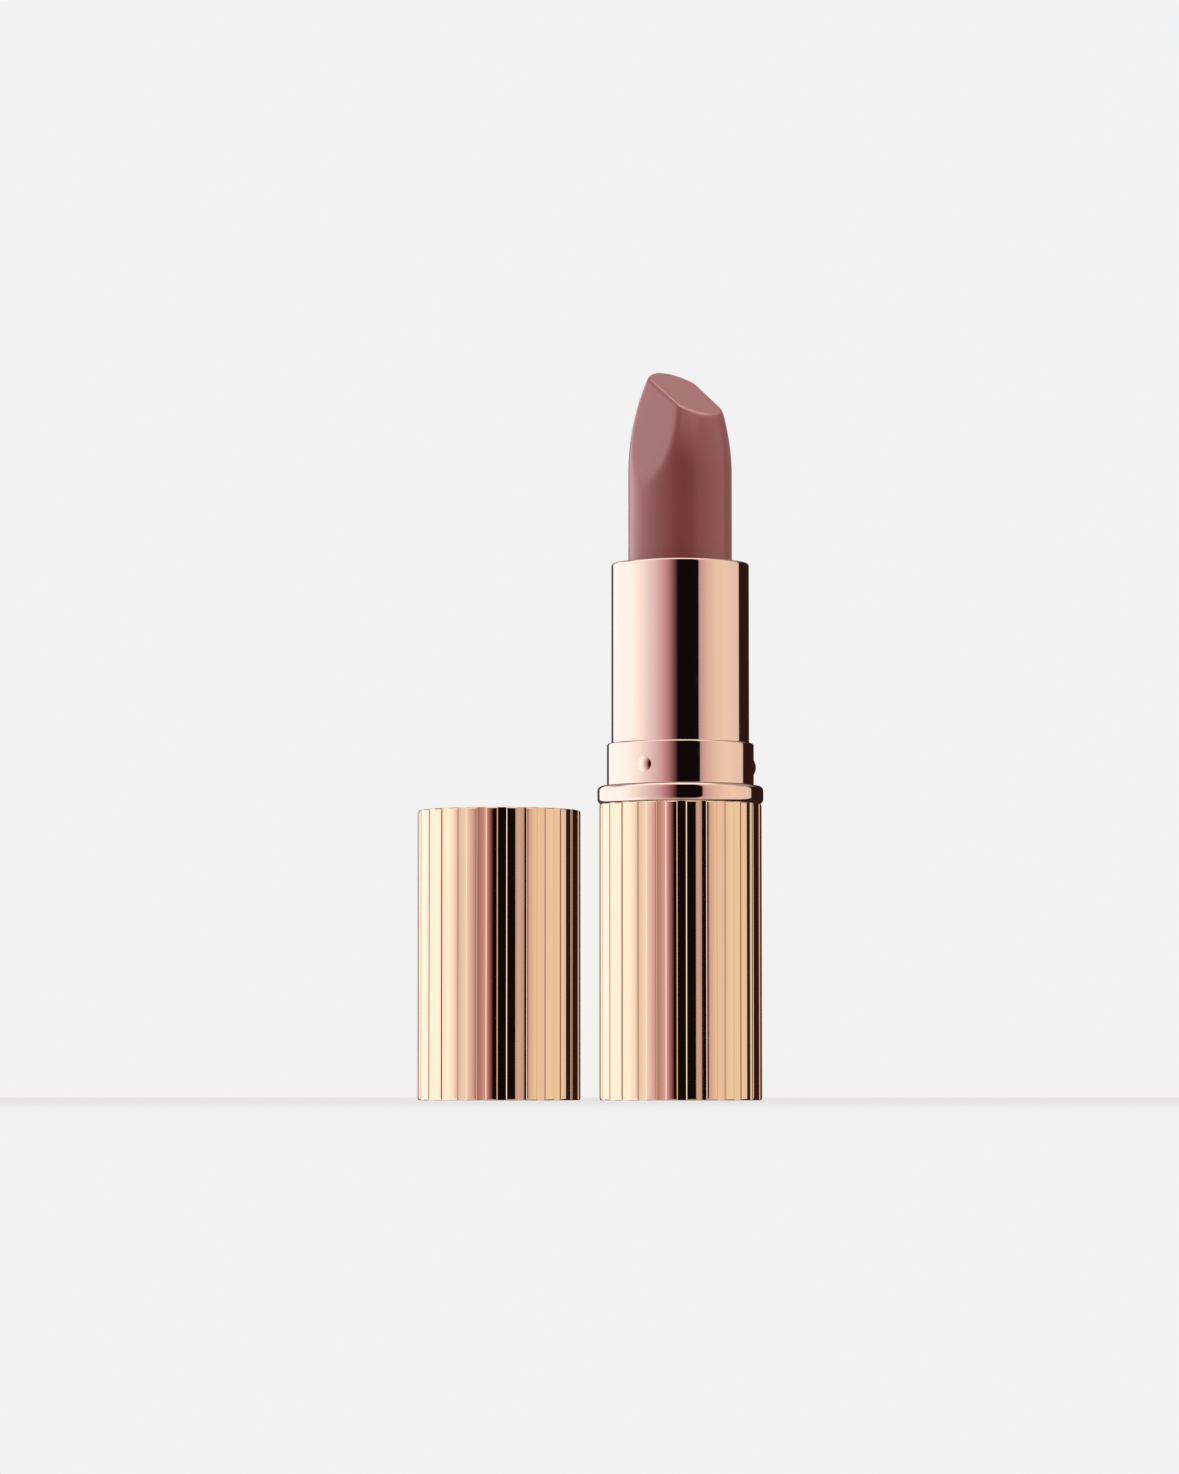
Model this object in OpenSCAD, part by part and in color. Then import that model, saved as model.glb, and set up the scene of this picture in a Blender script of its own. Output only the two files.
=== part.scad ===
// Lipstick case: a ribbed metal base with a twist-up bullet, and its ribbed cap.
// The bullet is wound all the way up, and the cap stands on its mouth beside the base.
// Origin: centre of the base's underside, on the base's axis. +Z is up. Millimetres.
// The diameters are a chain from the bullet outwards: each wall and clearance adds to it.

/* [Bullet] */
// Diameter of the bullet
bullet_d = 12.7; // [10:0.1:18]
// Height of the slanted face above the tube mouth, on the axis, when wound up
bullet_out = 21.7; // [17:0.1:27]
// Depth of the slanted face below the tube mouth, on the axis, when wound down
bullet_in = 2.8; // [2.6:0.1:8]
// Length of the rounded nose below the slanted face, on the axis
nose_len = 10.6; // [6:0.1:13]
// Radius of the arc that rounds the nose inwards
nose_r = 30.2; // [22:0.1:40]
// Tilt of the slanted face from level
slant_tilt = 34.3; // [20:0.1:45]
// Direction that the slanted face looks towards, from +X
slant_turn = -52.2; // [-180:0.1:180]
// Tilt of the two side facets from level
facet_tilt = 76.9; // [65:0.1:85]
// Angle from the slanted face's direction to each side facet's
facet_spread = 79.5; // [60:0.1:110]
// Distance of each side facet from the axis, at the height of the slanted face
facet_in = 3.55; // [2.5:0.05:5]

/* [Carrier cup] */
// Height of the cup
cup_h = 11; // [8:0.1:14]
// Wall of the cup
cup_wall = 0.36; // [0.3:0.02:0.6]
// Thickness of the cup's floor
cup_floor = 0.8; // [0.6:0.1:1.5]
// Diameter of the vent in the cup's floor
cup_vent_d = 4; // [2:0.1:6]
// Depth of the cup's rim below the tube mouth when wound up
cup_below = 0.6; // [0.4:0.1:2]
// Diameter of the two lugs
lug_d = 1.6; // [1.2:0.1:2.2]
// Height of the lugs' centres above the cup's underside
lug_up = 1.5; // [1.2:0.1:3]

/* [Screw mechanism] */
// Turns of the tube that wind the bullet from end to end
turns = 1.75; // [1.25:0.05:2.5]
// Wall of the slotted tube
guide_wall = 0.52; // [0.4:0.02:0.8]
// Height of the slotted tube's foot
foot_h = 10; // [6:0.1:12]
// Height of the lip that holds the slotted tube in the sleeve
snap_h = 0.8; // [0.5:0.1:1.2]
// Reach of that lip over the sleeve
snap_reach = 0.4; // [0.2:0.05:0.5]
// Wall of the spiral sleeve
sleeve_wall = 0.66; // [0.6:0.01:1]
// Depth of the helical grooves in the sleeve
groove_depth = 0.45; // [0.4:0.01:0.5]
// Plain length of the sleeve below the grooves
sleeve_tail = 5.5; // [3:0.1:8]
// Section diameter of the brake ring
brake_d = 0.54; // [0.4:0.02:0.6]

/* [Tube and collar] */
// Height of the tube above its collar
tube_h = 22.1; // [18:0.1:30]
// Height of the collar
collar_h = 5.15; // [4.5:0.05:8]
// Step from the tube out to the collar
collar_step = 0.56; // [0.45:0.01:1]
// Wall of the tube and collar
tube_wall = 0.35; // [0.3:0.01:0.5]
// Rounding of the tube's mouth
mouth_round = 0.5; // [0.4:0.05:0.8]
// Rounding of the collar's top edge
collar_round = 0.25; // [0.1:0.05:0.4]
// Diameter of the snap beads
bead_d = 1.6; // [1:0.1:2]
// Height that the snap beads stand out
bead_h = 0.3; // [0.15:0.05:0.35]
// Height of the beads above the foot of the collar
bead_up = 2.25; // [1.5:0.05:3]
// Number of snap beads
bead_count = 3; // [2:1:6]

/* [Base and ring] */
// Height of the ribbed base shell
base_h = 36.1; // [30:0.1:50]
// Wall of the base and cap shells under the rib crests
shell_wall = 0.45; // [0.4:0.01:0.7]
// Height of the centre ring
ring_h = 2.2; // [1.5:0.1:4]
// Distance that the centre ring stands out past the ribs
ring_out = 0.15; // [0.05:0.05:0.6]
// Rounding of the centre ring's edges
ring_round = 0.6; // [0.2:0.05:0.7]
// Depth that the ring's spigot goes into the base shell
spigot_h = 3; // [2:0.1:6]
// Thickness of the lip turned in at the bottom of the base shell
lip_h = 0.6; // [0.4:0.1:1]
// Width of that lip
lip_w = 0.95; // [0.6:0.05:1.5]
// Thickness of the bottom disc's flange
flange_h = 0.7; // [0.5:0.1:1.5]
// Thickness of the base liner's floor
liner_floor = 1; // [0.8:0.1:2]
// Diameter of the hole through the weight
weight_hole_d = 8; // [4:0.5:12]
// Diameter of the shade label
label_d = 13.6; // [8:0.1:16]
// Thickness of the shade label
label_h = 0.1; // [0.05:0.01:0.2]

/* [Cap] */
// Clear gap between the ribs of the standing cap and of the base
cap_gap = 2.14; // [0.5:0.01:40]
// Clear height left over the tube inside the closed cap
cap_headroom = 6.6; // [4:0.1:14]
// Thickness of the cap shell's top
cap_top = 0.6; // [0.4:0.1:1.5]
// Wall of the cap liner
liner_wall = 0.47; // [0.44:0.01:0.8]
// Thickness of the cap liner's top
liner_top = 0.8; // [0.5:0.1:1.5]
// Height that the liner's mouth is set back inside the cap's mouth
liner_set = 0.3; // [0.1:0.05:1]

/* [Ribs] */
// Number of ribs
rib_count = 25; // [15:1:36]
// Height of the ribs
rib_h = 0.15; // [0.08:0.01:0.2]
// Share of the pitch that a rib takes up
rib_share = 0.55; // [0.4:0.01:0.7]
// Radius that rounds each rib's crest
crest_r = 5; // [3:0.1:8]
// Rounding of the shells' end rims
rim_round = 0.3; // [0.15:0.05:0.35]
// Turn of the standing cap about its own axis
cap_turn = 3; // [-180:0.5:180]

/* [Fits] */
// Radial gap of the bullet in the cup
bullet_fit = 0.03; // [0.01:0.01:0.05]
// Radial gap of each running fit in the mechanism
run_fit = 0.06; // [0.02:0.01:0.1]
// Radial gap of each pressed or glued fit
press_fit = 0.03; // [0.01:0.01:0.05]
// Radial gap of the collar in the cap liner
cap_fit = 0.07; // [0.03:0.01:0.15]
// Radial gap of the turning sleeve in the base liner
sleeve_fit = 0.15; // [0.1:0.01:0.3]
// Gap on each side of a lug in its slot and groove
lug_fit = 0.12; // [0.08:0.01:0.2]
// Gap between the end of a lug and the floor of its groove
lug_end_fit = 0.1; // [0.08:0.01:0.15]
// Gap between faces that turn on each other
face_fit = 0.05; // [0.03:0.01:0.1]

/* [Hidden] */
$fn = 96;
eps = 0.01;
big = 60;

// Radii, from the bullet outwards
bullet_r = bullet_d / 2;
cup_in = bullet_r + bullet_fit;
cup_out = cup_in + cup_wall;
guide_in = cup_out + run_fit;
guide_out = guide_in + guide_wall;
sleeve_in = guide_out + run_fit;
sleeve_out = sleeve_in + sleeve_wall;
tube_in = sleeve_out + press_fit;
tube_out = tube_in + tube_wall;
collar_out = tube_out + collar_step;
collar_in = collar_out - tube_wall;
cap_liner_in = collar_out + cap_fit;
cap_liner_out = cap_liner_in + liner_wall;
shell_in = cap_liner_out + press_fit;
case_r = shell_in + shell_wall;
root_r = case_r - rib_h;
ring_r = case_r + ring_out;
base_liner_in = sleeve_out + sleeve_fit;
base_liner_out = shell_in - press_fit;
lip_in = shell_in - lip_w;
groove_r = sleeve_in + groove_depth;
lug_end = groove_r - lug_end_fit;
mouth_in = (guide_in + guide_out) / 2;

// Heights of the outer pieces
ring_top = base_h + ring_h;
collar_z = ring_top + face_fit;
collar_top = collar_z + collar_h;
tube_top = collar_top + tube_h;
slant_z = tube_top + bullet_out;

// Heights of the mechanism, at rest with the bullet wound up
travel = bullet_out + bullet_in;
lead = travel / turns;
cup_top = tube_top - cup_below;
cup_z = cup_top - cup_h;
bullet_z = cup_z + cup_floor;
lug_z = cup_z + lug_up;
lug_low_z = lug_z - travel;
track_z = lug_low_z - lug_d / 2 - lug_fit;
track_h = travel + lug_d + 2 * lug_fit;
guide_top = tube_top - tube_wall - 3 * face_fit;
sleeve_top = guide_top - snap_h - face_fit;
sleeve_z = track_z - sleeve_tail;
foot_top = sleeve_z - brake_d - 2 * press_fit;
foot_z = foot_top - foot_h;
foot_out = base_liner_in - press_fit;
brake_r = (sleeve_in + sleeve_out) / 2;

// Heights in the base
weight_z = lip_h + flange_h;
base_liner_z = foot_z - liner_floor;
base_liner_top = base_h - spigot_h;

// The cap, standing on its mouth
cap_h = face_fit + collar_h + tube_h + cap_headroom + liner_top + cap_top;
cap_x = -(2 * case_r + cap_gap);
snap_z = face_fit + bead_up;
snap_r = collar_out + bead_h + press_fit;
snap_clear = 0.2;

// A bar's half profile, standing on the X axis, with its two outer corners rounded
module rounded_half(r, h, c) {
    square([r - c, h]);
    translate([0, c]) square([r, h - 2 * c]);
    translate([r - c, c]) circle(c);
    translate([r - c, h - c]) circle(c);
}

// A straight pipe along Z
module pipe(r_out, r_in, z, h) {
    translate([0, 0, z])
        difference() {
            cylinder(r = r_out, h = h);
            translate([0, 0, -eps]) cylinder(r = r_in, h = h + 2 * eps);
        }
}

// One rib's crest, pointing along X
module rib_outline() {
    rib_w = 2 * PI * case_r * rib_share / rib_count;
    intersection() {
        translate([case_r - crest_r, 0]) circle(crest_r);
        translate([0, -rib_w / 2]) square([case_r + 1, rib_w]);
    }
}

// The ribbed outline, with the middle of a recess at -Y
module ribbed_outline() {
    pitch = 360 / rib_count;
    circle(root_r);
    for (k = [0 : rib_count - 1])
        rotate((k + 0.5) * pitch - 90) rib_outline();
}

// A solid ribbed bar with rounded end rims
module ribbed_bar(h) {
    intersection() {
        linear_extrude(height = h) ribbed_outline();
        rotate_extrude() rounded_half(case_r, h, rim_round);
    }
}

// A half-space above a plane that tilts towards a direction, at a distance from the axis
module above_plane(tilt, turn, z, out = 0) {
    translate([0, 0, z])
        rotate([0, 0, turn])
            translate([out, 0, 0])
                rotate([0, tilt, 0])
                    translate([-big / 2, -big / 2, 0]) cube(big);
}

// Ribbed base shell, open at the top, with a lip turned in at the bottom
module base_shell() {
    color("rosybrown")
        difference() {
            ribbed_bar(base_h);
            translate([0, 0, lip_h]) cylinder(r = shell_in, h = base_h);
            translate([0, 0, -eps]) cylinder(r = lip_in, h = lip_h + 2 * eps);
        }
}

// Plastic liner that holds the mechanism in the base shell
module base_liner() {
    color("dimgray")
        difference() {
            translate([0, 0, base_liner_z])
                cylinder(r = base_liner_out, h = base_liner_top - base_liner_z);
            translate([0, 0, foot_z]) cylinder(r = base_liner_in, h = base_h);
        }
}

// Steel weight between the bottom disc and the liner
module base_weight() {
    color("lightslategray")
        pipe(base_liner_out, weight_hole_d / 2, weight_z, base_liner_z - weight_z);
}

// Disc that closes the bottom, on the shell's lip, with a pocket for the label
module bottom_disc() {
    color("black")
        difference() {
            union() {
                cylinder(r = lip_in - press_fit, h = lip_h + eps);
                translate([0, 0, lip_h]) cylinder(r = base_liner_out, h = flange_h);
            }
            translate([0, 0, -eps]) cylinder(d = label_d + 2 * press_fit, h = label_h + eps);
        }
}

// Plain shade label, flush in the bottom disc
module shade_label() {
    color("thistle") cylinder(d = label_d, h = label_h);
}

// Turned ring between the base and the collar, with a spigot in the base shell
module centre_ring() {
    color("rosybrown")
        difference() {
            union() {
                translate([0, 0, base_h])
                    rotate_extrude() rounded_half(ring_r, ring_h, ring_round);
                translate([0, 0, base_liner_top])
                    cylinder(r = base_liner_out, h = spigot_h + eps);
            }
            translate([0, 0, base_liner_top - eps]) cylinder(r = base_liner_in, h = base_h);
        }
}

// Fixed tube that the cup slides in, with two slots that stop it turning
module slotted_tube() {
    slot_w = lug_d + 2 * lug_fit;
    color("whitesmoke")
        difference() {
            union() {
                translate([0, 0, foot_z]) cylinder(r = guide_out, h = guide_top - foot_z);
                translate([0, 0, foot_z]) cylinder(r = foot_out, h = foot_h);
                translate([0, 0, guide_top - snap_h])
                    cylinder(r = guide_out + snap_reach, h = snap_h);
            }
            translate([0, 0, foot_z - eps]) cylinder(r = guide_in, h = guide_top);
            translate([-big / 2, -slot_w / 2, track_z]) cube([big, slot_w, track_h]);
        }
}

// Rubber ring between the foot and the sleeve that gives the twist its drag
module brake_ring() {
    color("darkslategray")
        translate([0, 0, foot_top + press_fit + brake_d / 2])
            rotate_extrude() translate([brake_r, 0]) circle(d = brake_d);
}

// Outline of one groove, centred on +X: a sector from inside the bore to the groove's floor
module groove_outline() {
    slope = atan(lead / (2 * PI * sleeve_in));
    width = 360 * (lug_d + 2 * lug_fit) / cos(slope) / lead;
    steps = 6;
    clear = 0.3;
    outer = [for (i = [0 : steps]) width * (i / steps - 0.5)];
    inner = [for (i = [0 : steps]) width * (0.5 - i / steps)];
    polygon([
        for (a = outer) groove_r * [cos(a), sin(a)],
        for (a = inner) (sleeve_in - clear) * [cos(a), sin(a)]
    ]);
}

// The two helical grooves, placed so that they meet the lugs at rest
module helical_grooves() {
    slices = ceil(40 * track_h / lead);
    start = 360 * (track_z - lug_z) / lead;
    for (side = [0, 180])
        translate([0, 0, track_z])
            rotate([0, 0, side + start])
                linear_extrude(
                    height = track_h, twist = -360 * track_h / lead, slices = slices, $fn = 16
                )
                    groove_outline();
}

// Sleeve fixed in the tube shell: its grooves drive the cup's lugs up and down
module spiral_sleeve() {
    color("gainsboro")
        difference() {
            pipe(sleeve_out, sleeve_in, sleeve_z, sleeve_top - sleeve_z);
            helical_grooves();
        }
}

// Half profile of the tube shell's outside, filled to the axis
module tube_outside() {
    translate([0, collar_z]) square([collar_out - collar_round, collar_h]);
    translate([0, collar_z]) square([collar_out, collar_h - collar_round]);
    translate([collar_out - collar_round, collar_top - collar_round]) circle(collar_round);
    translate([0, collar_z]) square([tube_out, tube_top - mouth_round - collar_z]);
    translate([0, collar_z]) square([tube_out - mouth_round, tube_top - collar_z]);
    translate([tube_out - mouth_round, tube_top - mouth_round]) circle(mouth_round);
}

// Half profile of the tube shell's inside
module tube_inside() {
    lip_z = tube_top - tube_wall;
    inner_round = mouth_round - tube_wall;
    translate([0, collar_z - 1]) square([collar_in, collar_h + 1 - tube_wall]);
    translate([0, collar_z - 1]) square([tube_in, lip_z - inner_round - collar_z + 1]);
    translate([0, collar_z - 1]) square([tube_in - inner_round, lip_z - collar_z + 1]);
    translate([tube_in - inner_round, lip_z - inner_round]) circle(inner_round);
    translate([0, collar_z - 1]) square([mouth_in, tube_top - collar_z + 2]);
}

// The pressed beads, made smaller by the wall for their hollow backs
module bead_balls(less = 0) {
    ball_r = (pow(bead_d / 2, 2) + pow(bead_h, 2)) / (2 * bead_h);
    for (k = [0 : bead_count - 1])
        rotate([0, 0, k * 360 / bead_count])
            translate([collar_out + bead_h - ball_r, 0, collar_z + bead_up])
                sphere(r = ball_r - less);
}

// Drawn tube shell: collar with snap beads below, smooth tube with a turned-in mouth above
module tube_shell() {
    color("rosybrown")
        difference() {
            union() {
                rotate_extrude() tube_outside();
                bead_balls();
            }
            rotate_extrude() tube_inside();
            bead_balls(tube_wall);
        }
}

// Cup that carries the bullet, with two lugs that ride in the slots and grooves
module carrier_cup() {
    color("whitesmoke")
        difference() {
            union() {
                translate([0, 0, cup_z]) cylinder(r = cup_out, h = cup_h);
                translate([-lug_end, 0, lug_z]) rotate([0, 90, 0]) cylinder(d = lug_d, h = 2 * lug_end);
            }
            translate([0, 0, bullet_z]) cylinder(r = cup_in, h = cup_h);
            translate([0, 0, cup_z - eps]) cylinder(d = cup_vent_d, h = cup_h);
        }
}

// Half profile of the bullet before its faces are cut
module bullet_profile() {
    nose_z = slant_z - nose_len;
    translate([0, bullet_z]) square([bullet_r, nose_z - bullet_z]);
    intersection() {
        translate([bullet_r - nose_r, nose_z]) circle(nose_r, $fn = 720);
        translate([0, nose_z - eps]) square([bullet_r, nose_len + bullet_r]);
    }
}

// The bullet: a rounded nose cut by one slanted face and two steep side facets
module bullet() {
    color("palevioletred")
        difference() {
            rotate_extrude() bullet_profile();
            above_plane(slant_tilt, slant_turn, slant_z);
            for (side = [-1, 1])
                above_plane(facet_tilt, slant_turn + side * facet_spread, slant_z, facet_in);
        }
}

// Ribbed cap shell, standing on its mouth
module cap_shell() {
    color("rosybrown")
        translate([cap_x, 0, 0])
            rotate([0, 0, cap_turn])
                difference() {
                    ribbed_bar(cap_h);
                    translate([0, 0, -eps]) cylinder(r = shell_in, h = cap_h - cap_top + eps);
                }
}

// Plastic liner that grips the collar, with a groove that the beads snap into
module cap_liner() {
    color("dimgray")
        translate([cap_x, 0, 0])
            difference() {
                translate([0, 0, liner_set])
                    cylinder(r = cap_liner_out, h = cap_h - cap_top - liner_set);
                translate([0, 0, -eps]) cylinder(r = cap_liner_in, h = cap_h - cap_top - liner_top);
                translate([0, 0, snap_z - bead_d / 2 - snap_clear])
                    cylinder(r = snap_r, h = bead_d + 2 * snap_clear);
            }
}

base_shell();
base_liner();
base_weight();
bottom_disc();
shade_label();
centre_ring();
slotted_tube();
brake_ring();
spiral_sleeve();
tube_shell();
carrier_cup();
bullet();
cap_shell();
cap_liner();
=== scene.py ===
"""A twist-up lipstick case: ribbed base, smooth tube and slanted bullet, with its cap beside it."""

import math

import bpy
import numpy as np
from bpy.props import FloatProperty, FloatVectorProperty, IntProperty, PointerProperty
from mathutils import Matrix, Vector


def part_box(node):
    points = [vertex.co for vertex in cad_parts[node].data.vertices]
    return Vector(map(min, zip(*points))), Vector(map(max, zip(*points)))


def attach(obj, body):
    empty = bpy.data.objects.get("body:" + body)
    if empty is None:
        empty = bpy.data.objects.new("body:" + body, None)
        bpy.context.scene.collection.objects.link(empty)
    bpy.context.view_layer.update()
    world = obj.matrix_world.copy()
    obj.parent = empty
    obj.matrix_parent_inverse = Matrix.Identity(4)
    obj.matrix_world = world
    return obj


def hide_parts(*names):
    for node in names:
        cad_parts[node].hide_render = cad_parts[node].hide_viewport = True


bl_info = {
    "name": "Lipstick case",
    "version": (1, 0, 0),
    "blender": (4, 5, 0),
    "location": "View3D > Sidebar > Lipstick",
    "description": "Builds the polished shells, the bullet and the finishes of a lipstick case",
    "category": "Object",
}

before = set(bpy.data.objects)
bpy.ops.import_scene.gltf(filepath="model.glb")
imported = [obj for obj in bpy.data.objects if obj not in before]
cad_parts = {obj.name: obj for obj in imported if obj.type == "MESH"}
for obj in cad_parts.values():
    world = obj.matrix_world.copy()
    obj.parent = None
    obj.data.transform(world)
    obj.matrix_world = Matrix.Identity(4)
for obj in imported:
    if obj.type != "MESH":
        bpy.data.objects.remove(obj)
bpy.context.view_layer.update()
MM = 0.001
TURN = 2 * math.pi
# Keeps two surfaces from lying exactly on each other
TINY = 0.004 * MM


# Where the pieces of the frame lie


def half_width(node):
    """Half the width of a CAD node across Y, which is its radius if it is round."""
    low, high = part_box(node)
    return (high.y - low.y) / 2


def axis_x(node):
    """X of a round CAD node's own axis."""
    low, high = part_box(node)
    return (high.x + low.x) / 2


def low_z(node):
    """Height of a CAD node's underside."""
    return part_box(node)[0].z


def high_z(node):
    """Height of a CAD node's top."""
    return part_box(node)[1].z


# Settings that a user would change


def length(name, description, default):
    """A length setting, in metres."""
    return FloatProperty(
        name=name, description=description, default=default, min=0, unit="LENGTH", precision=5
    )


def colour(name, description, default):
    """A linear RGB colour setting."""
    return FloatVectorProperty(
        name=name, description=description, default=default, subtype="COLOR", min=0, max=1
    )


class LipstickSizes(bpy.types.PropertyGroup):
    """Sizes of the shells and the bullet that the frame doesn't give."""

    rib_count: IntProperty(
        name="Ribs", description="Number of ribs around each shell", default=25, min=8, max=60
    )
    recess_share: FloatProperty(
        name="Recess share",
        description="Share of the pitch between two ribs that the hollow recess takes",
        default=0.427,
        min=0.1,
        max=0.8,
    )
    wall_share: FloatProperty(
        name="Rib side share",
        description="Share of the pitch that each steep side of a rib takes",
        default=0.03,
        min=0.01,
        max=0.1,
    )
    crest_swell: FloatProperty(
        name="Crest swell",
        description="Extra roundness of the crests over the shell's",
        default=1.9,
        min=0,
    )
    recess_dip: FloatProperty(
        name="Recess dip",
        description="Hollow of the recesses, by the shell's roundness",
        default=2.2,
        min=0,
    )
    wall_slope: FloatProperty(
        name="Rib side slope",
        description="Slope of the sides of a rib",
        default=math.radians(57),
        subtype="ANGLE",
    )
    cap_turn: FloatProperty(
        name="Cap turn",
        description="Turn of the standing cap about its own axis",
        default=math.radians(3),
        subtype="ANGLE",
    )
    rim_round: length("Rim rounding", "Rounding of the outer edge of the shells' rims", 0.3 * MM)
    edge_round: length("Edge rounding", "Rounding of the inner edges of the metal", 0.08 * MM)
    cap_top: length("Cap top", "Thickness of the cap shell's top", 0.6 * MM)
    fit: length("Fit", "Radial gap of a pressed piece", 0.03 * MM)
    lip_height: length("Lip height", "Thickness of the lip under the base shell", 0.6 * MM)
    lip_width: length("Lip width", "Width of the lip under the base shell", 0.95 * MM)
    ring_round: length("Ring rounding", "Rounding of the centre ring's edges", 0.6 * MM)
    tube_wall: length("Tube wall", "Wall of the tube shell", 0.35 * MM)
    collar_height: length("Collar height", "Height of the collar at the tube's foot", 5.15 * MM)
    collar_step: length("Collar step", "Step from the tube out to the collar", 0.56 * MM)
    collar_round: length("Collar rounding", "Rounding of the collar's top edge", 0.25 * MM)
    mouth_radius: length("Mouth radius", "Radius of the opening in the tube's mouth", 7.06 * MM)
    mouth_round: length("Mouth rounding", "Rounding of the tube's mouth", 0.32 * MM)
    bead_count: IntProperty(
        name="Snap beads", description="Number of snap beads on the collar", default=3, min=1
    )
    bead_width: length("Bead width", "Width of a snap bead with its soft foot", 1.9 * MM)
    bead_height: length("Bead height", "Height that a snap bead stands out", 0.27 * MM)
    bead_level: length("Bead level", "Height of the beads above the collar's foot", 2.25 * MM)
    bullet_out: length("Bullet out", "Height of the slanted face over the tube's mouth", 21.7 * MM)
    nose_length: length("Nose length", "Length of the rounded nose below that face", 10.6 * MM)
    nose_radius: length("Nose radius", "Radius of the arc that rounds the nose", 30.2 * MM)
    facet_in: length("Facet distance", "Distance of the side facets from the axis", 3.55 * MM)
    slant_tilt: FloatProperty(
        name="Slant",
        description="Tilt of the slanted face",
        default=math.radians(34.3),
        subtype="ANGLE",
    )
    slant_turn: FloatProperty(
        name="Slant heading",
        description="Direction that the slanted face looks towards, from +X",
        default=math.radians(-52.2),
        subtype="ANGLE",
    )
    facet_tilt: FloatProperty(
        name="Facet tilt",
        description="Tilt of the side facets",
        default=math.radians(76.9),
        subtype="ANGLE",
    )
    facet_spread: FloatProperty(
        name="Facet spread",
        description="Angle from the slanted face's direction to each side facet's",
        default=math.radians(79.5),
        subtype="ANGLE",
    )


class LipstickColours(bpy.types.PropertyGroup):
    """Colours of the finishes and of the stage."""

    ribbed: colour("Ribbed metal", "Pale gold anodised metal of the ribbed shells", (0.935, 0.665, 0.44))
    metal: colour("Smooth metal", "Rose-gold anodised metal of the tube and ring", (0.92, 0.66, 0.54))
    bullet: colour("Bullet", "Dusty-rose lipstick wax", (0.268, 0.065, 0.068))
    liner: colour("Liners", "Moulded plastic of the liners", (0.07, 0.07, 0.075))
    white: colour("Mechanism", "Moulded plastic of the mechanism", (0.72, 0.72, 0.70))
    sleeve: colour("Sleeve", "Moulded plastic of the spiral sleeve", (0.42, 0.42, 0.41))
    steel: colour("Weight", "Turned steel of the weight", (0.38, 0.38, 0.39))
    silicone: colour("Brake ring", "Silicone of the brake ring", (0.02, 0.02, 0.022))
    disc: colour("Bottom disc", "Moulded plastic of the bottom disc", (0.02, 0.02, 0.02))
    label: colour("Label", "Plain shade label", (0.50, 0.26, 0.26))
    floor: colour("Floor", "Pale floor and backdrop", (0.888, 0.888, 0.888))


# Grid surfaces


def fillet(corner, before, after, radius, steps):
    """Points of the arc of that radius that rounds a corner between its two neighbours."""
    to_before = (before - corner) / np.linalg.norm(before - corner)
    to_after = (after - corner) / np.linalg.norm(after - corner)
    half = math.acos(float(np.clip(to_before @ to_after, -1, 1))) / 2
    middle = (to_before + to_after) / np.linalg.norm(to_before + to_after)
    centre = corner + middle * radius / math.sin(half)
    start = corner + to_before * radius / math.tan(half) - centre
    end = corner + to_after * radius / math.tan(half) - centre
    sweep = math.pi - 2 * half
    share = np.linspace(0, 1, steps)[:, None]
    return centre + (start * np.sin((1 - share) * sweep) + end * np.sin(share * sweep)) / math.sin(sweep)


def outline(corners, closed, steps=10, guard=0.03 * MM):
    """Half profile through corners of (radius, height, rounding): arcs joined by straight runs.

    Each straight run has a guard point close to both its ends, which keeps the shading true along it.
    An open profile starts and ends on its first and last corner.
    """
    spots = np.array([c[:2] for c in corners], float)
    count = len(spots)
    pieces = []
    for k, (_, _, rounding) in enumerate(corners):
        if not closed and k in (0, count - 1):
            pieces.append(spots[k : k + 1])
        else:
            pieces.append(fillet(spots[k], spots[k - 1], spots[(k + 1) % count], rounding, steps))
    path = []
    for k, piece in enumerate(pieces):
        path.append(piece)
        if closed or k < count - 1:
            start, end = piece[-1], pieces[(k + 1) % count][0]
            run = np.linalg.norm(end - start)
            share = min(0.25, guard / run)
            path.append(start + (end - start) * np.array([[share], [1 - share]]))
    return np.concatenate(path)


def add_rows(path, low, high, rows, radius):
    """The profile with more rows between two heights, on its run at about that radius."""
    slack = 0.02 * MM
    near = np.abs(path[:, 0] - radius) < slack
    spans = near[:-1] & near[1:] & (np.abs(path[1:, 1] - path[:-1, 1]) > high - low)
    at = int(np.flatnonzero(spans)[0])
    heights = np.linspace(low, high, rows)
    if path[at, 1] > path[at + 1, 1]:
        heights = heights[::-1]
    extra = np.column_stack([np.full(rows, path[at, 0]), heights])
    return np.insert(path, at + 1, extra, axis=0)


def rings(path, angles):
    """Radius, angle and height of each point of a profile carried round the axis."""
    radius = np.repeat(path[:, :1], len(angles), axis=1)
    height = np.repeat(path[:, 1:], len(angles), axis=1)
    return radius, np.broadcast_to(angles, radius.shape), height


def place(radius, angle, height, x=0.0):
    """Points at a radius, an angle from +X and a height, about an axis at x."""
    return np.stack([x + radius * np.cos(angle), radius * np.sin(angle), height], axis=-1)


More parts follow.
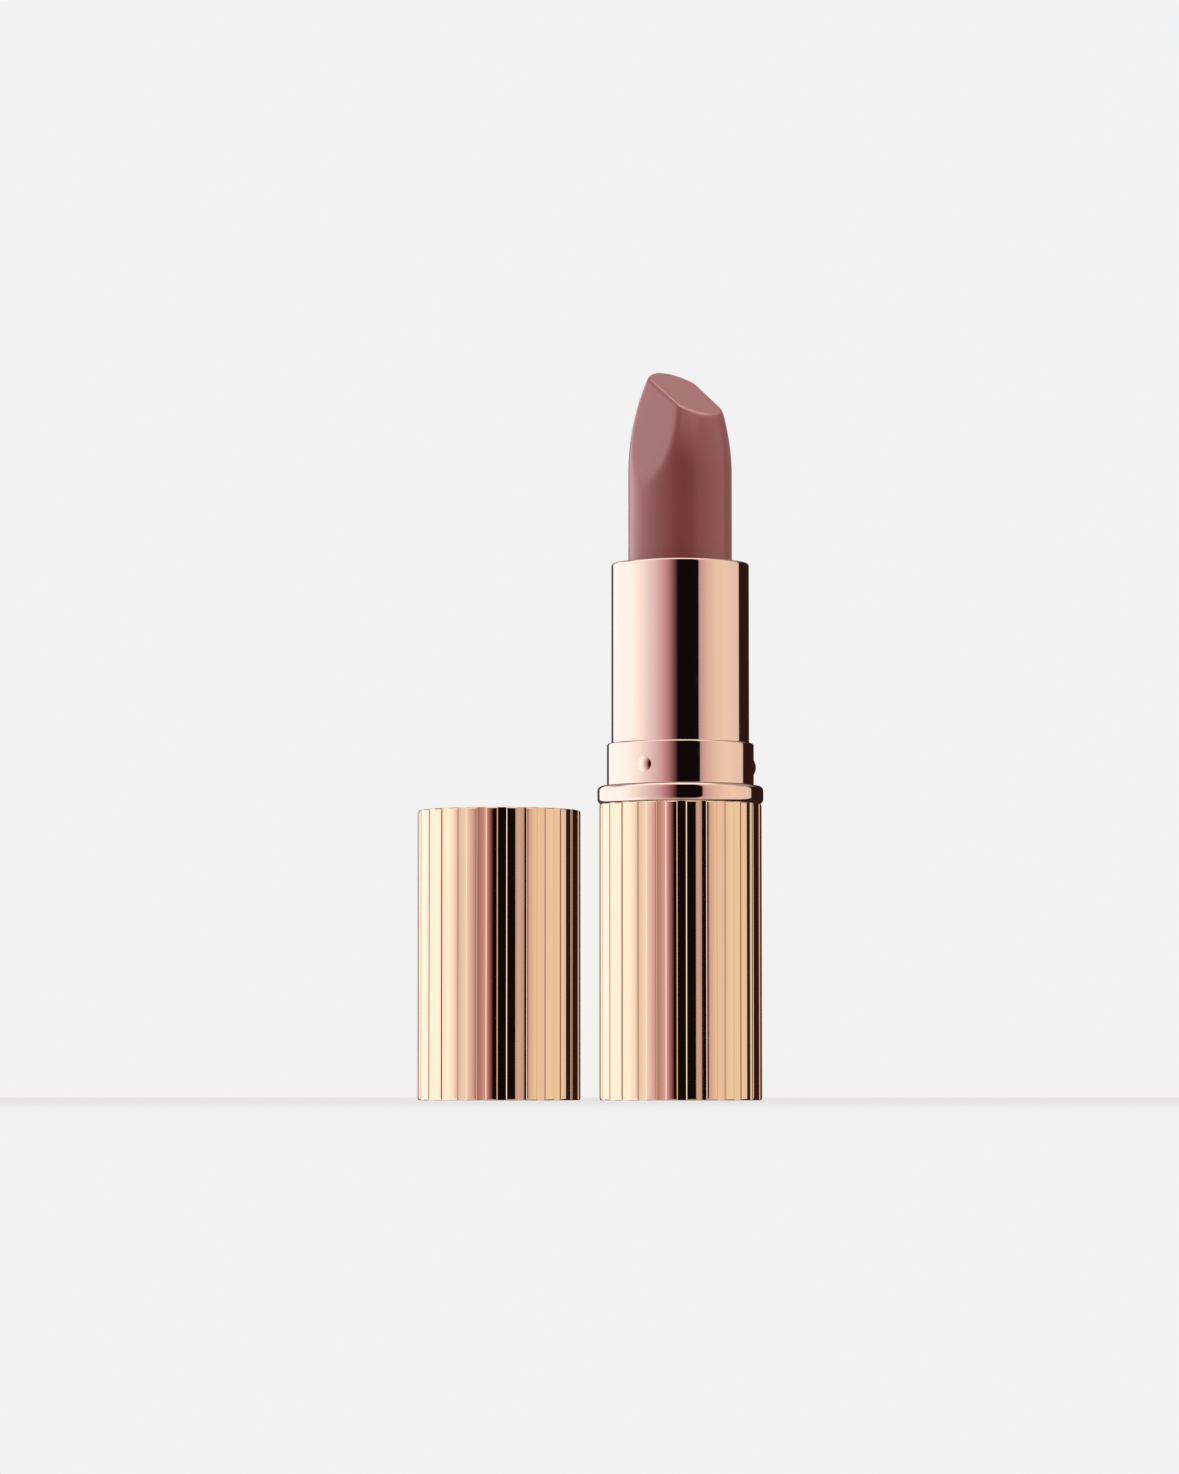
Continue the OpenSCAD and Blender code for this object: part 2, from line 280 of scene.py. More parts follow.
def skin(name, points, closed=False):
    """A mesh object over rings of points, ring by ring and right round.

    Each ring is joined to the next by quads. A closed surface joins its last ring to its first.
    An open one ends in poles: its first and last ring each shrink to one point.
    """
    ring_count, around, _ = points.shape
    index = np.arange(ring_count * around).reshape(ring_count, around)
    lower = index if closed else index[:-1]
    upper = np.roll(index, -1, axis=0) if closed else index[1:]
    quads = np.stack([lower, np.roll(lower, -1, 1), np.roll(upper, -1, 1), upper], axis=-1)
    spots = points.reshape(-1, 3)
    corners = quads.reshape(-1)
    sizes = np.full(len(corners) // 4, 4)
    if not closed:
        first, last, middle = quads[0], quads[-1], quads[1:-1]
        low_fan = np.stack([np.full(around, index[0, 0]), first[:, 2], first[:, 3]], axis=-1)
        high_fan = np.stack([last[:, 0], last[:, 1], np.full(around, index[-1, 0])], axis=-1)
        corners = np.concatenate([low_fan.reshape(-1), middle.reshape(-1), high_fan.reshape(-1)])
        sizes = np.concatenate([np.full(around, 3), np.full(middle.size // 4, 4), np.full(around, 3)])
    used, corners = np.unique(corners, return_inverse=True)
    mesh = bpy.data.meshes.new(name)
    mesh.vertices.add(len(used))
    mesh.vertices.foreach_set("co", spots[used].astype(np.float32).reshape(-1))
    mesh.loops.add(len(corners))
    mesh.loops.foreach_set("vertex_index", corners.reshape(-1).astype(np.int32))
    mesh.polygons.add(len(sizes))
    mesh.polygons.foreach_set("loop_start", np.concatenate([[0], np.cumsum(sizes)[:-1]]).astype(np.int32))
    mesh.update(calc_edges=True)
    mesh.validate()
    mesh.shade_smooth()
    piece = bpy.data.objects.new(name, mesh)
    bpy.context.scene.collection.objects.link(piece)
    return piece


def even_angles(count):
    """Evenly spaced angles round one turn."""
    return np.arange(count) * TURN / count


def ease(value, low, high):
    """0 below low, 1 above high, and a smooth S between them."""
    share = np.clip((value - low) / (high - low), 0, 1)
    return share * share * (3 - 2 * share)


def soft_min(first, second, blend):
    """The smaller of two lengths, with the crease between them rounded over the blend."""
    share = np.clip(0.5 + 0.5 * (second - first) / blend, 0, 1)
    return second + (first - second) * share - blend * share * (1 - share)


def rib_side(pitch, sizes):
    """Angles from the middle of a recess to the foot and to the head of a rib's steep side."""
    foot = sizes.recess_share * pitch / 2
    return foot, foot + sizes.wall_share * pitch


def rib_drop(off, pitch, sizes, radius):
    """Depth below the rib crests at an angle off from the middle of a recess, up to half a pitch.

    The slope is laid down first: a slightly hollow recess, then a steep side, then a crest that is
    rounder than the shell. The depth is the integral of the slope from there to the crest's middle.
    """
    foot, head = rib_side(pitch, sizes)
    soft = 0.4 * (head - foot)
    samples = 4000
    fine = np.linspace(0, pitch / 2, samples)
    on_side = ease(fine, foot - soft, foot + soft) * (1 - ease(fine, head - soft, head + soft))
    hollow = sizes.recess_dip * fine
    crest = sizes.crest_swell * (pitch / 2 - fine)
    tilt = np.where(fine < (foot + head) / 2, hollow, crest)
    rise = np.tan(tilt + (sizes.wall_slope - tilt) * on_side) * radius
    depth = np.concatenate([[0], np.cumsum((rise[1:] + rise[:-1]) / 2 * np.diff(fine))])
    return np.interp(off, fine, depth[-1] - depth)


def rib_angles(pitch, sizes):
    """Angles of the mesh's columns over one turn: closer together on the steep sides of the ribs.

    Half a pitch has three runs of columns: over the recess, over the side with a margin, and over the crest.
    """
    foot, head = rib_side(pitch, sizes)
    margin = 0.7 * (head - foot)
    marks = (0, foot - margin, head + margin, pitch / 2)
    columns = (7, 14, 10)
    runs = zip(marks, marks[1:], columns)
    half = np.concatenate([np.linspace(start, end, count, endpoint=False) for start, end, count in runs])
    one = np.concatenate([half, pitch - np.append(half, pitch / 2)[:0:-1]])
    return (one[None, :] + pitch * np.arange(sizes.rib_count)[:, None]).reshape(-1)


def ribbed(path, sizes, radius, turn, x):
    """Points of a shell whose profile is cut back to the ribbed outline wherever it stands outside it."""
    blend, deepest = 0.03 * MM, 0.6 * MM
    pitch = TURN / sizes.rib_count
    around = rib_angles(pitch, sizes)
    into = np.mod(around, pitch)
    drop = rib_drop(np.minimum(into, pitch - into), pitch, sizes, radius)
    reach, angle, height = rings(path, around + turn - TURN / 4)
    cut = soft_min(reach, np.broadcast_to(radius - drop, reach.shape), blend)
    return place(np.where(reach > radius - deepest, cut, reach), angle, height, x)


# Finishes


class Value:
    """A number in a shader: arithmetic on it adds Math nodes to its tree."""

    def __init__(self, tree, socket):
        self.tree = tree
        self.socket = socket

    def math(self, operation, *values):
        """A Math node of that operation on the values, some of them Values and some plain numbers."""
        node = self.tree.nodes.new("ShaderNodeMath")
        node.operation = operation
        for slot, value in zip(node.inputs, values):
            connect(self.tree, value, slot)
        return Value(self.tree, node.outputs[0])

    def __add__(self, other):
        return self.math("ADD", self, other)

    def __mul__(self, other):
        return self.math("MULTIPLY", self, other)

    def __truediv__(self, other):
        return self.math("DIVIDE", self, other)

    def __rsub__(self, other):
        return self.math("SUBTRACT", other, self)

    __radd__ = __add__
    __rmul__ = __mul__


def connect(tree, value, slot):
    """Links a Value to a socket, or sets the socket to a plain value."""
    if isinstance(value, Value):
        tree.links.new(value.socket, slot)
    else:
        slot.default_value = value


class Recipe:
    """A node tree under construction, with one way to add a node."""

    def __init__(self, tree):
        self.tree = tree
        tree.nodes.clear()

    def node(self, kind, settings, sockets, output=0):
        """A node of a kind: its settings are set first, then its sockets get values or links."""
        node = self.tree.nodes.new(kind)
        for name, value in settings.items():
            if name == "stops":
                self.set_stops(node.color_ramp, value)
            else:
                setattr(node, name, value)
        for name, value in sockets.items():
            connect(self.tree, value, node.inputs[name])
        return Value(self.tree, node.outputs[output]) if node.outputs else None

    @staticmethod
    def set_stops(ramp, stops):
        """Gives a colour ramp its stops of (place, colour)."""
        ramp.elements.remove(ramp.elements[-1])
        for k, (at, value) in enumerate(stops):
            element = ramp.elements[0] if k == 0 else ramp.elements.new(at)
            element.position = at
            element.color = (*value, 1)

    def mix(self, factor, first, second):
        """A colour between two colours."""
        colours = [value if isinstance(value, Value) else (*value[:3], 1) for value in (first, second)]
        sockets = {0: factor, 6: colours[0], 7: colours[1]}
        return self.node("ShaderNodeMix", {"data_type": "RGBA"}, sockets, output=2)

    def place(self, x=0.0, stretch=(1, 1, 1)):
        """Object coordinates in metres about an axis at x, stretched along each axis."""
        spot = self.node("ShaderNodeTexCoord", {}, {}, output="Object")
        centred = self.node("ShaderNodeMapping", {}, {"Vector": spot, "Location": (-x, 0, 0)})
        return self.node("ShaderNodeMapping", {}, {"Vector": centred, "Scale": stretch})

    def noise(self, spot, scale, detail=2.0, roughness=0.5):
        """Smooth noise from 0 to 1, of that many waves a metre."""
        sockets = {"Vector": spot, "Scale": scale, "Detail": detail, "Roughness": roughness}
        return self.node("ShaderNodeTexNoise", {}, sockets)

    def rise(self, value, low, high):
        """0 where the value is below low, 1 where it is above high, and a smooth S between them."""
        sockets = {"Value": value, "From Min": low, "From Max": high}
        return self.node("ShaderNodeMapRange", {"interpolation_type": "SMOOTHSTEP"}, sockets)

    def bump(self, height, strength, distance):
        """A normal shaded as if the surface stood up by height times distance."""
        sockets = {"Height": height, "Strength": strength, "Distance": distance}
        return self.node("ShaderNodeBump", {}, sockets)


def shade(value, factor):
    """A colour made lighter or darker."""
    return tuple(min(1.0, channel * factor) for channel in value[:3])


def material(name, varying, constants):
    """A material on one principled shader: varying(recipe) gives the sockets that change over it."""
    made = bpy.data.materials.new(name)
    made.use_nodes = True
    recipe = Recipe(made.node_tree)
    shader = recipe.node("ShaderNodeBsdfPrincipled", {}, {**constants, **varying(recipe)})
    recipe.node("ShaderNodeOutputMaterial", {}, {"Surface": shader})
    return made


def polished_metal(name, tint, x, grain):
    """Anodised metal with a mirror polish: soft waves along its grain, and faint smudges of handling."""

    def varying(recipe):
        spot = recipe.place(x)
        waves = recipe.noise(recipe.place(x, grain), 420, 2, 0.5)
        hairs = recipe.noise(recipe.place(x, grain), 5200, 1, 0.6)
        smudge = recipe.rise(recipe.noise(spot, 130, 4, 0.6), 0.52, 0.78)
        return {
            "Base Color": recipe.mix(recipe.noise(spot, 60, 2), shade(tint, 0.965), shade(tint, 1.02)),
            "Roughness": 0.035 + 0.045 * smudge + 0.02 * hairs,
            "Normal": recipe.bump(waves + 0.05 * hairs, 0.5, 0.004 * MM),
        }

    return material(name, varying, {"Metallic": 1.0})


def lipstick_wax(name, tint):
    """Satin wax: a cloudy bloom, fine grain and faint rings left by the mould."""

    def varying(recipe):
        spot = recipe.place()
        bloom = recipe.noise(spot, 150, 4, 0.6)
        grain = recipe.noise(spot, 4200, 2, 0.6)
        ring = recipe.noise(recipe.place(0, (0.05, 0.05, 1)), 900, 2, 0.5)
        return {
            "Base Color": recipe.mix(bloom, shade(tint, 0.92), shade(tint, 1.08)),
            "Roughness": 0.24 + 0.1 * bloom + 0.04 * grain,
            "Normal": recipe.bump(0.5 * bloom + 0.2 * grain + 0.15 * ring, 0.35, 0.05 * MM),
        }

    constants = {
        "IOR": 1.5,
        "Specular IOR Level": 1.0,
        "Specular Tint": (1.0, 0.68, 0.6, 1.0),
        "Sheen Weight": 0.35,
        "Sheen Roughness": 0.4,
    }
    return material(name, varying, constants)


def moulded_plastic(name, tint, roughness):
    """Injection-moulded plastic: a fine spark-eroded texture and slight clouding."""

    def varying(recipe):
        spot = recipe.place()
        texture = recipe.noise(spot, 6500, 3, 0.7)
        cloud = recipe.noise(spot, 180, 2)
        return {
            "Base Color": recipe.mix(cloud, shade(tint, 0.94), shade(tint, 1.06)),
            "Roughness": roughness + 0.1 * cloud + 0.06 * texture,
            "Normal": recipe.bump(texture, 0.4, 0.012 * MM),
        }

    return material(name, varying, {"IOR": 1.49})


def turned_steel(name, tint):
    """Plain turned steel: rings left by the tool and a dull film."""

    def varying(recipe):
        rings_cut = recipe.noise(recipe.place(0, (0.02, 0.02, 1)), 5200, 2, 0.6)
        film = recipe.noise(recipe.place(), 220, 4, 0.6)
        return {
            "Base Color": recipe.mix(film, shade(tint, 0.85), shade(tint, 1.1)),
            "Roughness": 0.32 + 0.16 * film + 0.08 * rings_cut,
            "Normal": recipe.bump(rings_cut, 0.6, 0.02 * MM),
        }

    return material(name, varying, {"Metallic": 1.0})


def label_film(name, tint):
    """Glossy label film with fine print dots and no lettering."""

    def varying(recipe):
        spot = recipe.place()
        dots = recipe.noise(spot, 9000, 1, 0.5)
        cloud = recipe.noise(spot, 250, 2)
        return {
            "Base Color": recipe.mix(dots, shade(tint, 0.93), shade(tint, 1.05)),
            "Roughness": 0.22 + 0.1 * cloud,
            "Normal": recipe.bump(cloud, 0.3, 0.02 * MM),
        }

    return material(name, varying, {"Coat Weight": 0.4})


# Pieces


def dress(piece, made):
    """Gives a piece its material and keeps it out of the reflections in its neighbours."""
    piece.data.materials.clear()
    piece.data.materials.append(made)
    piece.visible_glossy = False


def settle(piece, body, node, made):
    """Dresses a new piece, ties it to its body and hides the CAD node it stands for."""
    dress(piece, made)
    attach(piece, body)
    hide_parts(node)


# Points on each corner's arc of a ribbed shell
RIBBED_STEPS = 8


def shell_bore(sizes):
    """Inner radius of the ribbed shells."""
    return half_width("base_liner") + sizes.fit


def cap_shell_points(sizes):
    """The cap: inside of the top, down the bore, round the mouth, up the ribs and over the top."""
    radius, bore = half_width("cap_shell"), shell_bore(sizes)
    foot, top = low_z("cap_shell"), high_z("cap_shell")
    ceiling = top - sizes.cap_top
    corners = [
        (0, ceiling, 0),
        (bore, ceiling, 2 * sizes.edge_round),
        (bore, foot, sizes.edge_round),
        (radius + TINY, foot, sizes.rim_round),
        (radius + TINY, top, sizes.rim_round),
        (0, top, 0),
    ]
    path = outline(corners, closed=False, steps=RIBBED_STEPS)
    return ribbed(path, sizes, radius, sizes.cap_turn, axis_x("cap_shell"))


def base_shell_points(sizes):
    """The base: up the ribs, over the rim, down the bore and round the lip at the bottom."""
    radius, bore = half_width("base_shell"), shell_bore(sizes)
    foot, top = low_z("base_shell"), high_z("base_shell")
    lip = bore - sizes.lip_width
    corners = [
        (radius + TINY, foot, sizes.rim_round),
        (radius + TINY, top, sizes.rim_round),
        (bore, top, sizes.edge_round),
        (bore, foot + sizes.lip_height, sizes.edge_round),
        (lip, foot + sizes.lip_height, sizes.edge_round),
        (lip, foot, sizes.edge_round),
    ]
    path = outline(corners, closed=True, steps=RIBBED_STEPS)
    return ribbed(path, sizes, radius, 0, axis_x("base_shell"))


def centre_ring_points(sizes):
    """The ring: a rounded band over a plain spigot, carried round the axis."""
    radius, bore = half_width("centre_ring"), half_width("slotted_tube") + sizes.fit
    spigot = half_width("base_liner")
    foot, seat, top = low_z("centre_ring"), high_z("base_shell"), high_z("centre_ring")
    corners = [
        (radius, seat, sizes.ring_round),
        (radius, top, sizes.ring_round),
        (bore, top, sizes.edge_round),
        (bore, foot, sizes.edge_round),
        (spigot, foot, 2 * sizes.edge_round),
        (spigot, seat, sizes.edge_round / 2),
    ]
    return place(*rings(outline(corners, closed=True, steps=16), even_angles(360)))


def bead_lift(angle, level, radius, sizes):
    """How far the snap beads stand out: their height times (1 - distance² / half width²) to the 1.2."""
    step = TURN / sizes.bead_count
    sideways = (np.mod(angle + step / 2, step) - step / 2) * radius
    away = (sideways**2 + level**2) / (sizes.bead_width / 2) ** 2
    return sizes.bead_height * np.clip(1 - away, 0, 1) ** 1.2


def bead_angles(radius, sizes):
    """Angles of the tube's columns over one turn: closer together across each snap bead."""
    step = TURN / sizes.bead_count
    across = 0.55 * sizes.bead_width / radius
    on_bead = np.linspace(-across, across, 44)
    between = np.linspace(across, step - across, 84)[1:-1]
    one = np.concatenate([on_bead, between])
    return (one[None, :] + step * np.arange(sizes.bead_count)[:, None]).reshape(-1)


def tube_shell_points(sizes):
    """The tube shell: collar with its pressed beads, shoulder, tube and turned-in mouth."""
    collar = half_width("tube_shell")
    tube = collar - sizes.collar_step
    wall, edge = sizes.tube_wall, sizes.edge_round
    foot, top = low_z("tube_shell"), high_z("tube_shell")
    shoulder = foot + sizes.collar_height
    corners = [
        (collar, foot, edge),
        (collar, shoulder, sizes.collar_round),
        (tube, shoulder, edge),
        (tube, top, sizes.mouth_round),
        (sizes.mouth_radius, top, edge),
        (sizes.mouth_radius, top - wall, edge),
        (tube - wall, top - wall, edge),
        (tube - wall, shoulder - wall, edge),
        (collar - wall, shoulder - wall, edge),
        (collar - wall, foot, edge),
    ]
    path = outline(corners, closed=True, steps=9)
    middle = foot + sizes.bead_level
    reach = 0.52 * sizes.bead_width
    for rows, side in ((44, collar), (24, collar - wall)):
        path = add_rows(path, middle - reach, middle + reach, rows, side)
    radius, angle, height = rings(path, bead_angles(collar, sizes))
    lift = bead_lift(angle, height - middle, collar, sizes)
    return place(np.where(radius > collar - 1.5 * wall, radius + lift, radius), angle, height)


def bullet_points(sizes):
    """The bullet: a plain stick below, and above it the nearest of nose, slanted face and side facets.

    A ray leaves the heart, a point on the axis, at each rise and each turn. The inverse distances to the
    nose and to the three flat faces are blended as the root of the sum of their high powers, which takes
    the nearest and rounds the edges.
    """
    radius, foot = half_width("bullet"), low_z("bullet")
    slant = high_z("tube_shell") + sizes.bullet_out
    waist = slant - sizes.nose_length
    heart = waist - 0.9 * radius
    around = even_angles(480)
    foot_round = 0.3 * MM
    stick = outline([(0, foot, 0), (radius, foot, foot_round), (radius, heart, 0)], closed=False)
    lower = place(*rings(stick[:-1], around))

    up = np.linspace(0, math.pi / 2, 150)[:, None]
    turn = around[None, :]
    ahead = np.stack(
        [np.cos(up) * np.cos(turn), np.cos(up) * np.sin(turn), np.sin(up) + 0 * turn],
        axis=-1,
    )
    to_wall = radius / np.maximum(np.cos(up), 1e-6)
    bend, above = sizes.nose_radius - radius, waist - heart
    half = bend * np.cos(up) - above * np.sin(up)
    to_nose = np.sqrt(half**2 - (bend**2 + above**2 - sizes.nose_radius**2)) - half
    nearest = [1 / (np.where(to_wall * np.sin(up) < above, to_wall, to_nose) + 0 * turn)]
    faces = (
        (sizes.slant_tilt, sizes.slant_turn, 0.0),
        (sizes.facet_tilt, sizes.slant_turn - sizes.facet_spread, sizes.facet_in),
        (sizes.facet_tilt, sizes.slant_turn + sizes.facet_spread, sizes.facet_in),
    )
    for tilt, heading, out in faces:
        sideways, upward = math.sin(tilt), math.cos(tilt)
        normal = np.array([sideways * math.cos(heading), sideways * math.sin(heading), upward])
        away = out * sideways + (slant - heart) * upward
        nearest.append(np.maximum(ahead @ normal, 0) / away)
    nearest = np.array(nearest)
    most = nearest.max(axis=0)
    power = 70
    blended = most * np.sum((nearest / most) ** power, axis=0) ** (1 / power)
    upper = ahead / blended[..., None]
    upper[..., 2] += heart
    return np.concatenate([lower, upper])


class LipstickOperator:
    """What every operator here shares."""

    bl_options = {"REGISTER", "UNDO"}


class LIPSTICK_OT_ribbed_shells(LipstickOperator, bpy.types.Operator):
    """Make the ribbed shells of the cap and of the base"""

    bl_idname = "lipstick.ribbed_shells"
    bl_label = "Ribbed shells"

    def execute(self, context):
        sizes, colours = context.scene.lipstick_sizes, context.scene.lipstick_colours
        shells = (
            ("cap", "cap_shell", cap_shell_points, False),
            ("base", "base_shell", base_shell_points, True),
        )
        for body, node, points, closed in shells:
            piece = skin(body + "_ribbed_shell", points(sizes), closed)
            made = polished_metal(body + "_metal", colours.ribbed, axis_x(node), (1, 1, 0.02))
            settle(piece, body, node, made)
        return {"FINISHED"}


class LIPSTICK_OT_centre_ring(LipstickOperator, bpy.types.Operator):
    """Make the turned ring between the base and the collar"""

    bl_idname = "lipstick.centre_ring"
    bl_label = "Centre ring"

    def execute(self, context):
        sizes, colours = context.scene.lipstick_sizes, context.scene.lipstick_colours
        piece = skin("turned_centre_ring", centre_ring_points(sizes), True)
        made = polished_metal("turned_metal", colours.metal, 0, (0.02, 0.02, 1))
        settle(piece, "base", "centre_ring", made)
        return {"FINISHED"}


class LIPSTICK_OT_tube_shell(LipstickOperator, bpy.types.Operator):
    """Make the drawn tube shell with its collar and snap beads"""

    bl_idname = "lipstick.tube_shell"
    bl_label = "Tube shell"

    def execute(self, context):
        sizes, colours = context.scene.lipstick_sizes, context.scene.lipstick_colours
        piece = skin("drawn_tube_shell", tube_shell_points(sizes), True)
        made = polished_metal("drawn_metal", colours.metal, 0, (1, 1, 0.02))
        settle(piece, "tube", "tube_shell", made)
        return {"FINISHED"}


class LIPSTICK_OT_bullet(LipstickOperator, bpy.types.Operator):
    """Make the bullet with its slanted face and side facets"""

    bl_idname = "lipstick.bullet"
    bl_label = "Bullet"

    def execute(self, context):
        sizes, colours = context.scene.lipstick_sizes, context.scene.lipstick_colours
        piece = skin("wax_bullet", bullet_points(sizes))
        settle(piece, "carrier", "bullet", lipstick_wax("lipstick_wax", colours.bullet))
        return {"FINISHED"}


class LIPSTICK_OT_inner_pieces(LipstickOperator, bpy.types.Operator):
    """Finish the liners, the mechanism, the weight and the underside"""

    bl_idname = "lipstick.inner_pieces"
    bl_label = "Inner pieces"

    def execute(self, context):
        colours = context.scene.lipstick_colours
        liner = moulded_plastic("liner_plastic", colours.liner, 0.38)
        white = moulded_plastic("mechanism_plastic", colours.white, 0.3)
        finishes = {
            "cap_liner": liner,
            "base_liner": liner,
            "slotted_tube": white,
            "carrier_cup": white,
            "spiral_sleeve": moulded_plastic("sleeve_plastic", colours.sleeve, 0.35),
            "brake_ring": moulded_plastic("silicone", colours.silicone, 0.6),
            "bottom_disc": moulded_plastic("disc_plastic", colours.disc, 0.4),
            "base_weight": turned_steel("turned_steel", colours.steel),
            "shade_label": label_film("label_film", colours.label),
        }
        for node, made in finishes.items():
            dress(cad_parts[node], made)
        return {"FINISHED"}


# Stage

# Radiance of the light tent round the case, by heading from the front towards +X, in degrees
TENT = (
    (-180, (0.10, 0.075, 0.07)),
    (-154, (0.10, 0.075, 0.07)),
    (-151, (1.4, 1.34, 1.5)),
    (-92, (1.4, 1.34, 1.5)),
    (-70, (1.15, 1.10, 1.18)),
    (-60, (0.93, 0.956, 1.0)),
    (-50, (0.85, 0.80, 0.887)),
    (-40, (0.77, 0.64, 0.754)),
    (-30, (0.68, 0.456, 0.548)),
    (-20, (0.46, 0.255, 0.305)),
    (-10, (0.176, 0.068, 0.083)),
    (-5, (0.006, 0.004, 0.004)),
    (29.6, (0.006, 0.004, 0.004)),
    (31, (0.56, 0.43, 0.47)),
    (40, (0.745, 0.547, 0.548)),
    (48, (0.818, 0.674, 0.615)),
    (60, (0.885, 0.78, 0.70)),
    (80, (0.93, 0.856, 0.735)),
    (114.4, (0.84, 0.753, 0.70)),
    (115.8, (0.028, 0.012, 0.011)),
    (180, (0.028, 0.012, 0.011)),
)
# The brightest radiance that the tent's colours may hold
TENT_PEAK = 1.6
# Radiance of the panels laid over the tent
HIGH_BACK = (0.42, 0.38, 0.37)
ROOF = (1.3, 1.28, 1.26)
GROUND = (0.52, 0.44, 0.41)

# Soft boxes for the bullet: name, heading from the front towards +X and rise in degrees, width and height
# in metres, and radiance
SOFT_BOXES = (
    ("front_soft_box", 18, 35, 0.4, 0.2, 1.5),
    ("side_soft_box", -91, 26, 0.2, 0.2, 1.0),
    ("left_soft_box", -125, 12, 0.4, 0.3, 0.4),
    ("top_soft_box", 100, 72, 0.4, 0.4, 2.5),
)
SOFT_BOX_DISTANCE = 0.5


def light_tent():
    """Plain soft studio light: tall panels all round, a dull one high behind, a roof and a ground."""
    world = bpy.data.worlds.new("light_tent")
    world.use_nodes = True
    recipe = Recipe(world.node_tree)
    ahead = recipe.node("ShaderNodeTexCoord", {}, {}, output="Generated")
    split = {axis: recipe.node("ShaderNodeSeparateXYZ", {}, {0: ahead}, output=axis) for axis in "XYZ"}
    heading = split["X"].math("ARCTAN2", split["X"], 0 - split["Y"])
    stops = [(at / 360 + 0.5, shade(value, 1 / TENT_PEAK)) for at, value in TENT]
    light = recipe.node("ShaderNodeValToRGB", {"stops": stops}, {"Fac": heading / TURN + 0.5})
    behind = recipe.rise(split["Z"], 0.35, 0.6) * recipe.rise(split["Y"], 0.0, 0.4)
    above = recipe.rise(split["Z"], 0.86, 0.94)
    below = 0.7 * recipe.rise(0 - split["Z"], 0.8, 0.9)
    for share, panel in ((behind, HIGH_BACK), (above, ROOF), (below, GROUND)):
        light = recipe.mix(share, light, shade(panel, 1 / TENT_PEAK))
    background = recipe.node("ShaderNodeBackground", {}, {"Color": light, "Strength": TENT_PEAK})
    recipe.node("ShaderNodeOutputWorld", {}, {"Surface": background})
    bpy.context.scene.world = world


def soft_box(target, name, heading, rise, width, height, radiance):
    """A soft box that lights one piece only, from a heading and a rise in degrees."""
    heading, rise = math.radians(heading), math.radians(rise)
    level = math.cos(rise)
    ahead = np.array([math.sin(heading) * level, -math.cos(heading) * level, math.sin(rise)])
    data = bpy.data.lights.new(name, "AREA")
    data.shape = "RECTANGLE"
    data.size, data.size_y = width, height
    # A flat lamp of even radiance gives out pi times its radiance for each square metre
    data.energy = radiance * math.pi * width * height
    lamp = bpy.data.objects.new(name, data)
    bpy.context.scene.collection.objects.link(lamp)
    lamp.location = (0, 0, high_z("tube_shell")) + SOFT_BOX_DISTANCE * ahead
    lamp.rotation_euler = (math.pi / 2 - rise, 0, heading)
    lamp.visible_camera = False
    only = bpy.data.collections.new(name)
    only.objects.link(target)
    lamp.light_linking.receiver_collection = only


def backdrop_finish(tint, near, far):
    """A pale finish that takes soft shadows near the object and is an even glow far from it."""
    least_glow = 0.6
    made = bpy.data.materials.new("backdrop_finish")
    made.use_nodes = True
    recipe = Recipe(made.node_tree)
    spot = recipe.node("ShaderNodeTexCoord", {}, {}, output="Object")
    away = recipe.node("ShaderNodeVectorMath", {"operation": "LENGTH"}, {0: spot}, output="Value")
    matt = recipe.node("ShaderNodeBsdfDiffuse", {}, {"Color": (*tint[:3], 1)})
    glow = recipe.node("ShaderNodeEmission", {}, {"Color": (*tint[:3], 1)})
    glowing = least_glow + (1 - least_glow) * recipe.rise(away, near, far)
    shader = recipe.node("ShaderNodeMixShader", {}, {0: glowing, 1: matt, 2: glow})
    recipe.node("ShaderNodeOutputMaterial", {}, {"Surface": shader})
    return made


def backdrop(tint):
    """A pale floor that runs into a pale dome, kept out of reflections, bounced light and shadows."""
    reach, finest = 2.4, 0.01
    rise = np.linspace(math.pi / 2, 0, 24)
    dome = np.column_stack([reach * np.cos(rise), reach * np.sin(rise)])
    out = np.append(np.geomspace(0.98 * reach, finest, 40), 0)
    floor = np.column_stack([out, np.zeros(len(out))])
    path = np.concatenate([dome, floor]) - (0, TINY)
    piece = skin("backdrop", place(*rings(path, even_angles(96))))
    dress(piece, backdrop_finish(tint, near=0.1, far=0.35))
    piece.visible_diffuse = False
    piece.visible_shadow = False
    piece.visible_transmission = False


